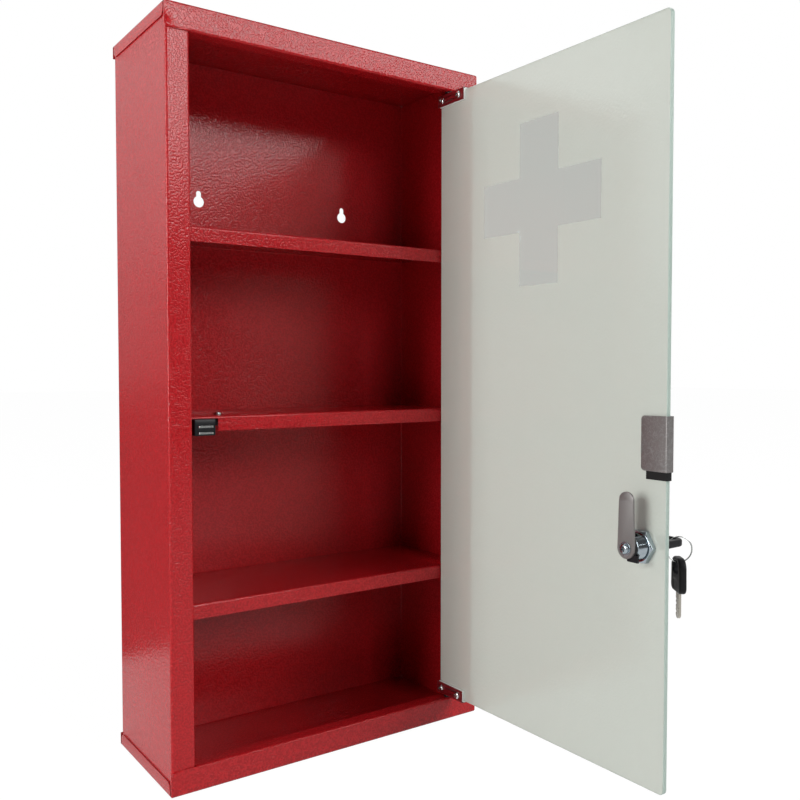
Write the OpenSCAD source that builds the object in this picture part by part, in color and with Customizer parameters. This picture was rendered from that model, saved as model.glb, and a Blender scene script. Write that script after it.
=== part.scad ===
// Lockable wall cabinet for medicines: a folded sheet-steel shell with two pressed caps, three
// fixed shelves, and a glass door on clamp-on pivot hinges with a magnetic catch and a cam lock.
// Built in a corner frame (X right, Y back, Z up, zero at the front left bottom corner), then
// moved so that the origin lies midway between the two keyholes, on the back panel's outer face.

/* [Cabinet] */
// Overall width
body_w = 300; // [280:1:330]
// Overall depth
body_d = 120; // [110:1:160]
// Overall height
body_h = 600; // [580:1:640]
// Sheet thickness of shell, caps and shelves
sheet = 1; // [0.8:0.1:1.2]
// Radius of the bends, on the middle of the sheet
bend_r = 1.5; // [1.2:0.1:2]
// Width of the shell's front flange on the lock side
lock_flange_w = 20; // [18:0.5:24]
// Width of the shell's front flange on the hinge side
hinge_flange_w = 16; // [16:0.5:20]
// Depth of the lock side's return, which the cam locks behind
lock_return = 20.8; // [18:0.1:21]
// Depth of the hinge side's return
hinge_return = 13; // [8:0.5:13]

/* [Caps] */
// Height of a cap's front lip
cap_lip_h = 20; // [18:0.5:22]
// Depth of the return behind a cap's front lip
cap_return = 13; // [11:0.5:15]
// Height of a cap's side and rear lips
cap_side_h = 11; // [8:0.5:14]
// Corner radius of a cap's front lip
cap_corner_r = 5; // [2:0.5:6]
// Corner radius of a cap's side lips
cap_side_r = 5; // [2:0.5:8]

/* [Shelves] */
// Top of the middle shelf above the base
mid_shelf_z = 290; // [285:1:295]
// Height from one shelf to the next
shelf_pitch = 148; // [140:1:152]
// Height of a shelf's folded lips
shelf_lip = 12; // [8:0.5:12]
// Setback of the shelves behind the front face
shelf_setback = 15; // [14.6:0.1:18]

/* [Wall fixing] */
// Height of the keyholes' round entries above the base
keyhole_z = 477; // [465:1:490]
// Distance between the keyholes
keyhole_pitch = 150; // [100:5:180]
// Radius of a keyhole's round entry
keyhole_r = 5; // [4.5:0.1:6]
// Half width of a keyhole's slot
keyhole_slot_r = 2.4; // [2:0.1:2.8]
// Rise of a keyhole's slot above the entry's centre
keyhole_rise = 7.3; // [6:0.1:9]

/* [Door] */
// Angle that the door stands open
door_open = 90; // [0:1:95]
// Glass thickness
glass_t = 4; // [4:0.1:4.2]
// Radius of the glass corners
glass_corner_r = 4; // [2:0.5:6]
// Gap between the glass and a cap's lip
glass_gap_z = 3.5; // [3.5:0.1:5]
// Gap between the glass and the flange beside it on the lock side
glass_gap_x = 3; // [3:0.1:5]
// Setback of the glass behind the front face when closed
glass_setback = 2.2; // [2.2:0.1:2.4]
// Distance from the pivot to the glass edge beside it
pivot_inset = 9; // [8.6:0.1:9.2]

/* [Hinges] */
// Length of a hinge clamp along the glass
clamp_l = 36.5; // [34:0.5:38]
// Height of a hinge clamp's leaves
clamp_h = 11; // [10:0.5:13]
// Thickness of the gasket in the clamp
gasket_t = 1.2; // [1.2:0.05:1.25]
// Distance between a clamp's two screws
clamp_screw_pitch = 23.5; // [20:0.5:24]
// Radius of a pivot pin
pivot_pin_r = 2; // [1.8:0.1:2.2]
// Running clearance on the radius of pins and plug
running = 0.05; // [0.03:0.01:0.1]

/* [Cam lock] */
// Distance from the lock's axis to the glass's free edge
lock_inset = 21.5; // [20:0.5:24]
// Height of the lock's axis above the base
lock_z = 199.5; // [196:0.5:210]
// Radius of the lock's threaded barrel
barrel_r = 9.2; // [8.6:0.1:9.4]
// Radius of the turning plug
plug_r = 6; // [5.6:0.1:6.2]
// Length from the cam's axis to its tip
cam_reach = 40.5; // [36:0.5:41]
// Width of the cam at its tip
cam_w = 12.6; // [10:0.2:13]

/* [Keys] */
// Length of a key's moulded bow
bow_l = 26; // [25:0.5:28]
// Width of a key's bow
bow_w = 22; // [21:0.5:24]
// Thickness of a key's bow
bow_t = 5.4; // [5:0.1:5.6]
// Length of a key's blade beyond the bow
blade_l = 19.5; // [18:0.5:21]
// Mean radius of the key ring
ring_r = 9.4; // [9.2:0.1:9.8]

/* [Hidden] */

RED = "firebrick";
STEEL = "lightsteelblue";
ZINC = "silver";
BLACK = [0.09, 0.09, 0.1];
ARC_STEPS = 8;

// Inside of the front opening, between the flanges and between the caps' lips
open_x0 = lock_flange_w;
open_x1 = body_w - hinge_flange_w;
open_z0 = cap_lip_h;
open_z1 = body_h - cap_lip_h;

// Folds of the shell's sheet, on its middle, and the lines beside the bends where its nodes meet
fold_x0 = sheet * 1.5;
fold_x1 = body_w - fold_x0;
fold_y0 = sheet * 1.5;
fold_y1 = body_d - fold_y0;
lock_fold = lock_flange_w - sheet / 2;
hinge_fold = body_w - hinge_flange_w + sheet / 2;
fold_reach = bend_r + sheet / 2;
front_seam = fold_y0 + fold_reach;
rear_seam = fold_y1 - fold_reach;
shell_end = bend_r + sheet / 2;

// Glass, when closed
hinge_gap_x = 4;
glass_x0 = open_x0 + glass_gap_x;
glass_x1 = open_x1 - hinge_gap_x;
glass_z0 = open_z0 + glass_gap_z;
glass_z1 = open_z1 - glass_gap_z;
glass_y0 = glass_setback;
glass_y1 = glass_setback + glass_t;

// Pivot axis, in the middle of the glass's thickness
pivot_x = glass_x1 - pivot_inset;
pivot_y = (glass_y0 + glass_y1) / 2;

// Hinge clamp, a channel of sheet over the glass edge
clamp_overhang = 2.5;
clamp_screw_inset = 6.5;
clamp_screw_rise = 5;
clamp_x1 = glass_x1 + clamp_overhang;
clamp_x0 = clamp_x1 - clamp_l;
clamp_y0 = glass_y0 - gasket_t - sheet;
clamp_y1 = glass_y1 + gasket_t + sheet;
clamp_z1 = glass_z1 + gasket_t + sheet;
clamp_z0 = clamp_z1 - clamp_h;
clamp_screw_xs = [clamp_x0 + clamp_screw_inset, clamp_x0 + clamp_screw_inset + clamp_screw_pitch];
clamp_screw_z = clamp_z0 + clamp_screw_rise;
bush_collar_t = 0.9;
bush_neck_r = 2.9;

// Cabinet's catch and the clip on the door that meets it
catch_x0 = 25;
catch_x1 = 42;
catch_y0 = 9;
catch_y1 = 46;
catch_drop = 15;
catch_top_gap = 1.4;
catch_flange_t = 4;
catch_z0 = mid_shelf_z - catch_drop;
catch_z1 = mid_shelf_z - sheet - catch_top_gap;
catch_flange_z = mid_shelf_z - sheet - catch_flange_t;
catch_flange_x1 = 62;
catch_screw_x = 55;
catch_screw_y = 35;
pole_x0 = 28;
pole_x1 = 40.4;
pole_y0 = catch_y0 - 0.4;
pole_y1 = 30;
pole_t = 1.6;
magnet_t = 3.45;
pole_rise = 1.15;
pole_z0 = catch_z0 + pole_rise;
pole_zs = [pole_z0, pole_z0 + pole_t + magnet_t];
magnet_inset = 0.5;
magnet_y0 = catch_y0 + 2;
lip_cut_x1 = 47;

clip_t = 0.9;
liner_t = 1;
clip_l = 21;
clip_above = 4;
clip_h = 39.5;
liner_below = 6;
clip_x1 = glass_x0 + clip_l;
clip_z1 = mid_shelf_z + clip_above;
clip_z0 = clip_z1 - clip_h;
liner_z0 = clip_z0 - liner_below;

// Cam lock, along the glass's thickness
lock_x = glass_x0 + lock_inset;
bezel_r = 11.5;
bezel_t = 2.4;
bezel_gasket_t = 0.5;
bezel_y = glass_y0 - bezel_gasket_t - bezel_t;
barrel_y1 = glass_y1 + 13.4;
nut_af = 23;
nut_t = 4.8;
washer_y = barrel_y1 + 0.3;
washer_t = 1.5;
cam_t = 1.8;
cam_y = washer_y + washer_t;
tail_w = 7;
cam_end_r = 7.4;

// Keys and their ring
key_gap = 4.5;
bow_y1 = bezel_y - key_gap;
blade_w = 7;
blade_t = 2;
blade_root = 4;
keyway_gap = 0.15;
bow_corner_r = 8;
bow_ease = 0.8;
hole_l = 13;
hole_h = 10;
hole_edge = 2.8;
wire_r = 0.6;
ring_bearing = 54;
ring_play = 0.35;
// The ring stands round the corner of the bow: web between hole and corner arc
web_mid = 6.25;
ring_x = lock_x - bow_w / 2 + bow_corner_r - web_mid * cos(ring_bearing);
ring_y = bow_y1 - bow_l + bow_corner_r - web_mid * sin(ring_bearing);
ring_z = lock_z + bow_t / 2 + ring_play - sqrt(pow(ring_r - wire_r, 2) - 4);
spare_top_z = ring_z - ring_r + wire_r + ring_play + hole_edge;

// ---- helpers -------------------------------------------------------------------------------

module corner_frame() {
    translate([-body_w / 2, sheet - body_d, -keyhole_z]) children();
}

module door_frame() {
    corner_frame()
        translate([pivot_x, pivot_y, 0])
        rotate([0, 0, door_open])
        translate([-pivot_x, -pivot_y, 0])
        children();
}

// Turns a piece at the top of the cabinet into its twin at the bottom
module at_bottom() {
    translate([0, 0, body_h]) mirror([0, 0, 1]) children();
}

// A drawing in (Y, Z) made solid from x0 to x1
module along_x(x0, x1) {
    translate([x0, 0, 0]) rotate([90, 0, 90]) linear_extrude(x1 - x0) children();
}

// A drawing in (X, Z) made solid from y0 to y1
module along_y(y0, y1) {
    translate([0, y1, 0]) rotate([90, 0, 0]) linear_extrude(y1 - y0) children();
}

// A round bar along Y
module rod_y(x, z, r, y0, y1, sides = 64) {
    translate([x, y0, z]) rotate([-90, 0, 0]) cylinder(r = r, h = y1 - y0, $fn = sides);
}

// A round bar along Z
module rod_z(x, y, r, z0, z1) {
    translate([x, y, z0]) cylinder(r = r, h = z1 - z0, $fn = 48);
}

module block(low, high) {
    translate(low) cube(high - low);
}

function unit(v) = v / norm(v);
function turn_of(d1, d2) = sign(d1.x * d2.y - d1.y * d2.x);

// One side of a folded strip: the path moved left by off, with an arc at each square bend
function strip_side(path, r, off) = [
    for (i = [0 : len(path) - 1])
        let (
            last = len(path) - 1,
            d1 = unit(i > 0 ? path[i] - path[i - 1] : path[1] - path[0]),
            d2 = unit(i < last ? path[i + 1] - path[i] : path[last] - path[last - 1]),
            bends = i > 0 && i < last,
            centre = path[i] - r * d1 + r * d2,
            reach = r - turn_of(d1, d2) * off
        )
        for (k = [0 : bends ? ARC_STEPS : 0])
            let (a = 90 * k / ARC_STEPS)
            bends ? centre + reach * (d1 * sin(a) - d2 * cos(a))
                  : path[i] + off * [-d1.y, d1.x]
];

function backwards(list) = [for (i = [len(list) - 1 : -1 : 0]) list[i]];

// Section of a sheet folded along a path of square bends
module folded(path, t = sheet, r = bend_r) {
    polygon(concat(strip_side(path, r, t / 2), backwards(strip_side(path, r, -t / 2))));
}

// Points of a rectangle whose corners have the radii [low left, low right, top right, top left]
function round_box(low, high, radii) = [
    for (c = [
        [low.x + radii[0], low.y + radii[0], radii[0], 180],
        [high.x - radii[1], low.y + radii[1], radii[1], 270],
        [high.x - radii[2], high.y - radii[2], radii[2], 0],
        [low.x + radii[3], high.y - radii[3], radii[3], 90]
    ])
        for (k = [0 : c[2] > 0 ? ARC_STEPS : 0])
            let (a = c[3] + 90 * k / ARC_STEPS)
            [c[0] + c[2] * cos(a), c[1] + c[2] * sin(a)]
];

function same(r) = [r, r, r, r];

// Pan-head screw along +Z, head above z = 0 and shank below, with a cross recess
module pan_screw(head_r, head_h, shank_r, shank_l) {
    recess_w = head_r * 0.3;
    recess_l = head_r * 1.15;
    difference() {
        union() {
            rotate_extrude($fn = 48)
                polygon([
                    [0, 0], [head_r, 0], [head_r, head_h * 0.35],
                    for (k = [1 : ARC_STEPS])
                        let (a = 90 * k / ARC_STEPS)
                        [head_r * (0.45 + 0.55 * cos(a)), head_h * (0.35 + 0.65 * sin(a))],
                    [0, head_h]
                ]);
            translate([0, 0, -shank_l]) cylinder(r = shank_r, h = shank_l, $fn = 32);
        }
        for (a = [0, 90])
            rotate([0, 0, a])
                translate([-recess_l / 2, -recess_w / 2, head_h * 0.45])
                cube([recess_l, recess_w, head_h]);
    }
}

// ---- cabinet -------------------------------------------------------------------------------

// Opening for a wall screw: round entry with a slot above it
module keyhole(x) {
    y0 = body_d - 3 * sheet;
    top_z = keyhole_z + keyhole_rise;
    rod_y(x, keyhole_z, keyhole_r, y0, body_d);
    rod_y(x, top_z, keyhole_slot_r, y0, body_d);
    block([x - keyhole_slot_r, y0, keyhole_z], [x + keyhole_slot_r, body_d, top_z]);
}

// A stretch of the shell's folded sheet. Back, sides, flanges and returns are one sheet, drawn as
// nodes that meet on straight lines beside the bends, so that no hull spans the hollows.
module shell_stretch(path) {
    color(RED)
        corner_frame()
        translate([0, 0, shell_end])
        linear_extrude(body_h - 2 * shell_end)
        folded(path);
}

module shell_back() {
    difference() {
        shell_stretch([[fold_x0 + fold_reach, fold_y1], [fold_x1 - fold_reach, fold_y1]]);
        color(RED)
            corner_frame()
            for (side = [-1, 1]) keyhole(body_w / 2 + side * keyhole_pitch / 2);
    }
}

module shell_rear_bends() {
    for (edge = [[fold_x0, 1], [fold_x1, -1]])
        shell_stretch([[edge[0], rear_seam], [edge[0], fold_y1],
                       [edge[0] + edge[1] * fold_reach, fold_y1]]);
}

module shell_lock_wall() {
    shell_stretch([[fold_x0, front_seam], [fold_x0, rear_seam]]);
}

module shell_lock_flange() {
    shell_stretch([[fold_x0, front_seam], [fold_x0, fold_y0], [lock_fold, fold_y0],
                   [lock_fold, front_seam]]);
}

module shell_lock_return() {
    shell_stretch([[lock_fold, front_seam], [lock_fold, lock_return]]);
}

module shell_hinge_wall() {
    shell_stretch([[fold_x1, front_seam], [fold_x1, rear_seam]]);
}

module shell_hinge_flange() {
    shell_stretch([[hinge_fold, front_seam], [hinge_fold, fold_y0], [fold_x1, fold_y0],
                   [fold_x1, front_seam]]);
}

module shell_hinge_return() {
    shell_stretch([[hinge_fold, front_seam], [hinge_fold, hinge_return]]);
}

// Section of a cap from its front lip over the plate to its rear lip, at the cabinet's top
function cap_section(with_return) = concat(
    with_return
        ? [[cap_return, open_z1 + sheet / 2], [sheet / 2, open_z1 + sheet / 2]]
        : [[sheet / 2, open_z1]],
    [
        [sheet / 2, body_h - sheet / 2],
        [body_d - sheet / 2, body_h - sheet / 2],
        [body_d - sheet / 2, body_h - cap_side_h]
    ]
);

// Lid over the shell: deep front lip with a return, shallow side and rear lips
module cap() {
    relief = bend_r + sheet;
    end = 0.5;
    bush_hole_r = bush_neck_r + 0.05;
    difference() {
        union() {
            intersection() {
                union() {
                    along_x(0, open_x0 + end) folded(cap_section(false));
                    along_x(open_x1 - end, body_w) folded(cap_section(false));
                    along_x(open_x0 + end, open_x1 - end) folded(cap_section(true));
                }
                along_y(-1, body_d + 1)
                    polygon(round_box([0, open_z1], [body_w, body_h],
                        [cap_corner_r, cap_corner_r, bend_r + sheet / 2, bend_r + sheet / 2]));
            }
            intersection() {
                along_y(relief, body_d - relief)
                    folded([
                        [sheet / 2, body_h - cap_side_h], [sheet / 2, body_h - sheet / 2],
                        [body_w - sheet / 2, body_h - sheet / 2], [body_w - sheet / 2, body_h - cap_side_h]
                    ]);
                along_x(-1, body_w + 1)
                    polygon(round_box([relief, body_h - cap_side_h], [body_d - relief, body_h],
                        [cap_side_r, cap_side_r, 0, 0]));
            }
        }
        rod_z(pivot_x, pivot_y, bush_hole_r, open_z1 - 1, open_z1 + 2 * sheet);
    }
}

module top_cap() {
    color(RED) corner_frame() cap();
}

module bottom_cap() {
    color(RED) corner_frame() at_bottom() cap();
}

// Shelf plate with front and rear lips, notched round the shell's returns
module shelf(top_z) {
    play = 0.5;
    corner = 3.5 * sheet;
    front = shelf_setback + sheet / 2;
    rear = body_d - 2.5 * sheet - 0.1;
    low = top_z - shelf_lip;
    mid = top_z - sheet / 2;
    difference() {
        along_x(2 * sheet, body_w - 2 * sheet)
            folded([[front, low], [front, mid], [rear, mid], [rear, low]]);
        block([0, 0, low - 1], [open_x0 + play, lock_return + play, top_z + 1]);
        block([open_x1 - play, 0, low - 1], [body_w, front + sheet + bend_r, top_z + 1]);
        for (x = [0, body_w - corner])
            block([x, body_d - corner, low - 1], [x + corner, body_d, top_z + 1]);
    }
}

module upper_shelf() {
    color(RED) corner_frame() shelf(mid_shelf_z + shelf_pitch);
}

module middle_shelf() {
    clearance_r = 2.2;
    play = 0.3;
    color(RED)
        corner_frame()
        difference() {
            shelf(mid_shelf_z);
            block([0, 0, mid_shelf_z - shelf_lip - 1],
                  [lip_cut_x1, shelf_setback + sheet + play, catch_z1 + play]);
            rod_z(catch_screw_x, catch_screw_y, clearance_r, mid_shelf_z - 2 * sheet, mid_shelf_z + 1);
        }
}

module lower_shelf() {
    color(RED) corner_frame() shelf(mid_shelf_z - shelf_pitch);
}

// Plastic body of the magnetic catch, with a screw flange under the shelf
module catch_housing() {
    play = 0.15;
    dish = 0.7;
    dish_rim = 0.8;
    shoulder_x1 = catch_x1 + 6;
    shoulder_y0 = shelf_setback + sheet / 2 + bend_r + 0.2;
    top_z = mid_shelf_z - sheet;
    ear_half = 8;
    ear_r = 6;
    boss_r = 4;
    boss_h = 4;
    pilot_r = 1.7;
    color(BLACK)
        corner_frame()
        difference() {
            union() {
                along_y(catch_y0, catch_y1)
                    polygon(round_box([catch_x0, catch_z0], [catch_x1, catch_z1], [1, 1, 0.4, 0.4]));
                block([catch_x0, shoulder_y0, catch_flange_z], [shoulder_x1, catch_y1, top_z]);
                translate([0, 0, catch_flange_z])
                    linear_extrude(top_z - catch_flange_z)
                    polygon(round_box([catch_x1, catch_screw_y - ear_half],
                                      [catch_flange_x1, catch_screw_y + ear_half],
                                      [0, ear_r, ear_r, 0]));
                rod_z(catch_screw_x, catch_screw_y, boss_r, catch_flange_z - boss_h, catch_flange_z);
            }
            for (z = pole_zs) {
                block([pole_x0 - play, catch_y0 - 1, z - play],
                      [pole_x1 + play, pole_y1 + play, z + pole_t + play]);
                block([pole_x0 - dish_rim, catch_y0 - 1, z - dish_rim / 2],
                      [pole_x1 + dish_rim, catch_y0 + dish, z + pole_t + dish_rim / 2]);
            }
            block([pole_x0 + magnet_inset - play, magnet_y0 - play, pole_z0],
                  [pole_x1 - magnet_inset + play, pole_y1 + play, pole_z0 + pole_t + magnet_t]);
            rod_z(catch_screw_x, catch_screw_y, pilot_r, catch_flange_z - boss_h - 1, mid_shelf_z);
        }
}

// The two steel bars that carry the magnet's pull to the door's clip
module catch_pole_plates() {
    color(ZINC)
        corner_frame()
        for (z = pole_zs)
            translate([0, 0, z])
                linear_extrude(pole_t)
                polygon(round_box([pole_x0, pole_y0], [pole_x1, pole_y1], [0.8, 0.8, 0, 0]));
}

module catch_magnet() {
    color("dimgray")
        corner_frame()
        block([pole_x0 + magnet_inset, magnet_y0, pole_z0 + pole_t],
              [pole_x1 - magnet_inset, pole_y1 - 1, pole_z0 + pole_t + magnet_t]);
}

module catch_screw() {
    color(ZINC)
        corner_frame()
        translate([catch_screw_x, catch_screw_y, mid_shelf_z])
        rotate([0, 0, 20])
        pan_screw(3.4, 2.2, 1.7, 8);
}

// Nylon bush pressed into the cap's return, collar towards the door
module pivot_bush() {
    collar_r = 3.8;
    lead_in = 0.4;
    neck_z1 = open_z1 + sheet;
    bush_z1 = neck_z1 + 1.2;
    difference() {
        union() {
            rod_z(pivot_x, pivot_y, collar_r, open_z1 - bush_collar_t, open_z1);
            rod_z(pivot_x, pivot_y, bush_neck_r, open_z1, neck_z1);
            translate([pivot_x, pivot_y, neck_z1])
                cylinder(r1 = bush_neck_r, r2 = bush_neck_r - lead_in, h = bush_z1 - neck_z1, $fn = 48);
        }
        rod_z(pivot_x, pivot_y, pivot_pin_r + running, open_z1 - 2, bush_z1 + 1);
    }
}

module upper_pivot_bush() {
    color(BLACK) corner_frame() pivot_bush();
}

module lower_pivot_bush() {
    color(BLACK) corner_frame() at_bottom() pivot_bush();
}

// ---- door ----------------------------------------------------------------------------------

module door_glass() {
    arris = 0.4;
    hole_r = barrel_r + 0.4;
    color([0.82, 0.86, 0.83])
        door_frame()
        difference() {
            hull()
                for (in = [0, arris])
                    along_y(glass_y0 + arris - in, glass_y1 - arris + in)
                        polygon(round_box([glass_x0 + in, glass_z0 + in],
                                          [glass_x1 - in, glass_z1 - in],
                                          same(glass_corner_r - in)));
            rod_y(lock_x, lock_z, hole_r, glass_y0 - 1, glass_y1 + 1);
        }
}

// Painted steel channel that grips the glass's edge, with holes for its two screws
module hinge_clamp() {
    mid = sheet / 2;
    tap_r = 1.6;
    difference() {
        along_x(clamp_x0, clamp_x1)
            folded([
                [clamp_y0 + mid, clamp_z0], [clamp_y0 + mid, clamp_z1 - mid],
                [clamp_y1 - mid, clamp_z1 - mid], [clamp_y1 - mid, clamp_z0]
            ]);
        for (x = clamp_screw_xs)
            rod_y(x, clamp_screw_z, tap_r, glass_y1 + 0.5, clamp_y1 + 1);
    }
}

module upper_hinge_clamp() {
    color("maroon") door_frame() hinge_clamp();
}

module lower_hinge_clamp() {
    color("maroon") door_frame() at_bottom() hinge_clamp();
}

// White liner between the clamp and the glass, standing a little out of the clamp's end
module hinge_gasket() {
    show = 1;
    mid = gasket_t / 2;
    y0 = glass_y0 - mid;
    y1 = glass_y1 + mid;
    z1 = glass_z1 + mid;
    color("white")
        along_x(clamp_x0 - show, glass_x1)
        folded([[y0, clamp_z0 - 0.5], [y0, z1], [y1, z1], [y1, clamp_z0 - 0.5]], gasket_t, gasket_t / 2);
}

module upper_hinge_gasket() {
    door_frame() hinge_gasket();
}

module lower_hinge_gasket() {
    door_frame() at_bottom() hinge_gasket();
}

module hinge_screws() {
    for (i = [0, 1])
        translate([clamp_screw_xs[i], clamp_y1, clamp_screw_z])
            rotate([-90, 0, 0])
            rotate([0, 0, 15 + 50 * i])
            pan_screw(3.3, 2, 1.55, sheet);
}

module upper_hinge_screws() {
    color(ZINC) door_frame() hinge_screws();
}

module lower_hinge_screws() {
    color(ZINC) door_frame() at_bottom() hinge_screws();
}

// Pin on the clamp that turns in the cap's bush
module pivot_pin() {
    shoulder_r = 3;
    lead_in = 0.6;
    shoulder_z1 = open_z1 - bush_collar_t - 0.1;
    pin_z1 = open_z1 + 3;
    rod_z(pivot_x, pivot_y, shoulder_r, clamp_z1, shoulder_z1);
    rod_z(pivot_x, pivot_y, pivot_pin_r, shoulder_z1, pin_z1);
    translate([pivot_x, pivot_y, pin_z1])
        cylinder(r1 = pivot_pin_r, r2 = pivot_pin_r - lead_in, h = lead_in, $fn = 48);
}

module upper_pivot_pin() {
    color(ZINC) door_frame() pivot_pin();
}

module lower_pivot_pin() {
    color(ZINC) door_frame() at_bottom() pivot_pin();
}

// Section of a channel folded round the glass's free edge, seen from above
function edge_channel(out, t) = [
    [clip_x1, glass_y0 - out + t / 2],
    [glass_x0 - out + t / 2, glass_y0 - out + t / 2],
    [glass_x0 - out + t / 2, glass_y1 + out - t / 2],
    [clip_x1, glass_y1 + out - t / 2]
];

// Satin steel clip round the door's free edge: the magnet's keeper
module strike_clip() {
    color(STEEL)
        door_frame()
        intersection() {
            translate([0, 0, clip_z0])
                linear_extrude(clip_z1 - clip_z0)
                folded(edge_channel(liner_t + clip_t, clip_t), clip_t, 1);
            along_y(-5, 15)
                polygon(round_box([glass_x0 - 5, clip_z0], [clip_x1, clip_z1], [0, 3, 3, 0]));
        }
}

module clip_liner() {
    short = 4;
    color(BLACK)
        door_frame()
        difference() {
            translate([0, 0, liner_z0])
                linear_extrude(clip_z1 - 1 - liner_z0)
                folded(edge_channel(liner_t, liner_t), liner_t, liner_t / 2);
            block([clip_x1 - short, -5, liner_z0 - 1], [clip_x1 + 1, 15, clip_z1]);
        }
}

// ---- cam lock ------------------------------------------------------------------------------

// Bezel and flatted barrel, bored for the plug
module lock_housing() {
    flat = 8;
    rim_r = 1.8;
    dish = 0.4;
    dish_r = 7.4;
    color(ZINC)
        door_frame()
        difference() {
            union() {
                translate([lock_x, bezel_y, lock_z])
                    rotate([-90, 0, 0])
                    rotate_extrude($fn = 96)
                    polygon([
                        [0, dish], [dish_r, dish], [dish_r + dish, 0],
                        for (k = [0 : ARC_STEPS])
                            let (a = 90 * k / ARC_STEPS)
                            [bezel_r - rim_r + rim_r * sin(a), rim_r - rim_r * cos(a)],
                        [bezel_r, bezel_t], [0, bezel_t]
                    ]);
                intersection() {
                    rod_y(lock_x, lock_z, barrel_r, bezel_y + bezel_t, barrel_y1, 96);
                    block([lock_x - bezel_r, bezel_y, lock_z - flat],
                          [lock_x + bezel_r, barrel_y1, lock_z + flat]);
                }
            }
            rod_y(lock_x, lock_z, plug_r + running, bezel_y - 1, barrel_y1 + 1, 96);
        }
}

module bezel_gasket() {
    color(BLACK)
        door_frame()
        difference() {
            rod_y(lock_x, lock_z, bezel_r - 0.6, glass_y0 - bezel_gasket_t, glass_y0);
            rod_y(lock_x, lock_z, barrel_r + 0.1, glass_y0 - 2, glass_y0 + 1);
        }
}

// Hexagon nut with chamfered corners, flats at the top and bottom
module lock_nut() {
    corner_r = nut_af / sqrt(3);
    chamfer = 1.2;
    color(ZINC)
        door_frame()
        difference() {
            intersection() {
                rod_y(lock_x, lock_z, corner_r, glass_y1, glass_y1 + nut_t, 6);
                translate([lock_x, glass_y1, lock_z])
                    rotate([-90, 0, 0])
                    rotate_extrude($fn = 96)
                    polygon([
                        [0, 0], [corner_r + 0.1, 0], [corner_r + 0.1, nut_t - chamfer],
                        [nut_af / 2 - 0.3, nut_t], [0, nut_t]
                    ]);
            }
            rod_y(lock_x, lock_z, barrel_r + 0.1, glass_y1 - 1, glass_y1 + nut_t + 1, 96);
        }
}

// Turning plug: keyway in front, square tail for stop washer and cam behind
module lock_plug() {
    tail_y1 = cam_y + cam_t;
    keyway_d = blade_l - key_gap + 1;
    half_w = blade_w / 2 + keyway_gap;
    half_t = blade_t / 2 + keyway_gap;
    color(ZINC)
        door_frame()
        difference() {
            union() {
                rod_y(lock_x, lock_z, plug_r, bezel_y - 0.3, barrel_y1 + 0.3, 96);
                block([lock_x - tail_w / 2, barrel_y1, lock_z - tail_w / 2],
                      [lock_x + tail_w / 2, tail_y1, lock_z + tail_w / 2]);
            }
            block([lock_x - half_w, bezel_y - 1, lock_z - half_t],
                  [lock_x + half_w, bezel_y + keyway_d, lock_z + half_t]);
            rod_y(lock_x, lock_z, 2, cam_y - 4, tail_y1 + 1);
        }
}

// Square hole that fits the plug's tail
module tail_hole(y0, y1) {
    half = tail_w / 2 + 0.05;
    block([lock_x - half, y0 - 1, lock_z - half], [lock_x + half, y1 + 1, lock_z + half]);
}

// Washer with the tab that limits the turn
module stop_washer() {
    tab_w = 5;
    tab_reach = 9.4;
    color(BLACK)
        door_frame()
        difference() {
            union() {
                rod_y(lock_x, lock_z, 8, washer_y, washer_y + washer_t);
                block([lock_x - tab_reach, washer_y, lock_z - tab_reach],
                      [lock_x, washer_y + washer_t, lock_z - tab_reach + tab_w]);
            }
            tail_hole(washer_y, washer_y + washer_t);
        }
}

// Cam arm, standing up when unlocked: round at both ends, tapering to the tip
module lock_cam() {
    tip_r = cam_w / 2;
    tip_z = lock_z + cam_reach - tip_r;
    color(STEEL)
        door_frame()
        difference() {
            union() {
                rod_y(lock_x, lock_z, cam_end_r, cam_y, cam_y + cam_t);
                rod_y(lock_x, tip_z, tip_r, cam_y, cam_y + cam_t);
                along_y(cam_y, cam_y + cam_t)
                    polygon([
                        [lock_x - cam_end_r, lock_z], [lock_x + cam_end_r, lock_z],
                        [lock_x + tip_r, tip_z], [lock_x - tip_r, tip_z]
                    ]);
            }
            tail_hole(cam_y, cam_y + cam_t);
        }
}

module cam_washer() {
    y0 = cam_y + cam_t;
    color(ZINC)
        door_frame()
        difference() {
            rod_y(lock_x, lock_z, 5, y0, y0 + 0.8);
            rod_y(lock_x, lock_z, 2.1, y0 - 1, y0 + 2);
        }
}

module cam_screw() {
    color(ZINC)
        door_frame()
        translate([lock_x, cam_y + cam_t + 0.8, lock_z])
        rotate([-90, 0, 0])
        rotate([0, 0, 30])
        pan_screw(3.6, 2.2, 1.9, 5);
}

// ---- keys ----------------------------------------------------------------------------------

// Key drawn flat in (X, Y): bow towards -Y, blade towards +Y, shoulder at the origin
module blade_outline() {
    half = blade_w / 2;
    cuts = [1.0, 1.8, 0.6, 1.4];
    cut_pitch = 3;
    first_cut = 6;
    polygon([
        [-half, -blade_root], [half, -blade_root],
        for (i = [0 : len(cuts) - 1])
            for (p = [[-1.1, 0], [-0.4, cuts[i]], [0.4, cuts[i]], [1.1, 0]])
                [half - p[1], first_cut + i * cut_pitch + p[0]],
        [half, blade_l - 2], [1, blade_l], [-1, blade_l], [-half, blade_l - 2]
    ]);
}

// Blade with a groove milled along each side, the two at different heights
module blade() {
    groove_w = 1.2;
    groove_d = 0.6;
    color(ZINC)
        difference() {
            translate([0, 0, -blade_t / 2]) linear_extrude(blade_t) blade_outline();
            for (side = [-1, 1])
                translate([side * blade_w / 5 - groove_w / 2, 0.5, side * blade_t / 2 - groove_d])
                    cube([groove_w, blade_l, 2 * groove_d]);
        }
}

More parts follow.
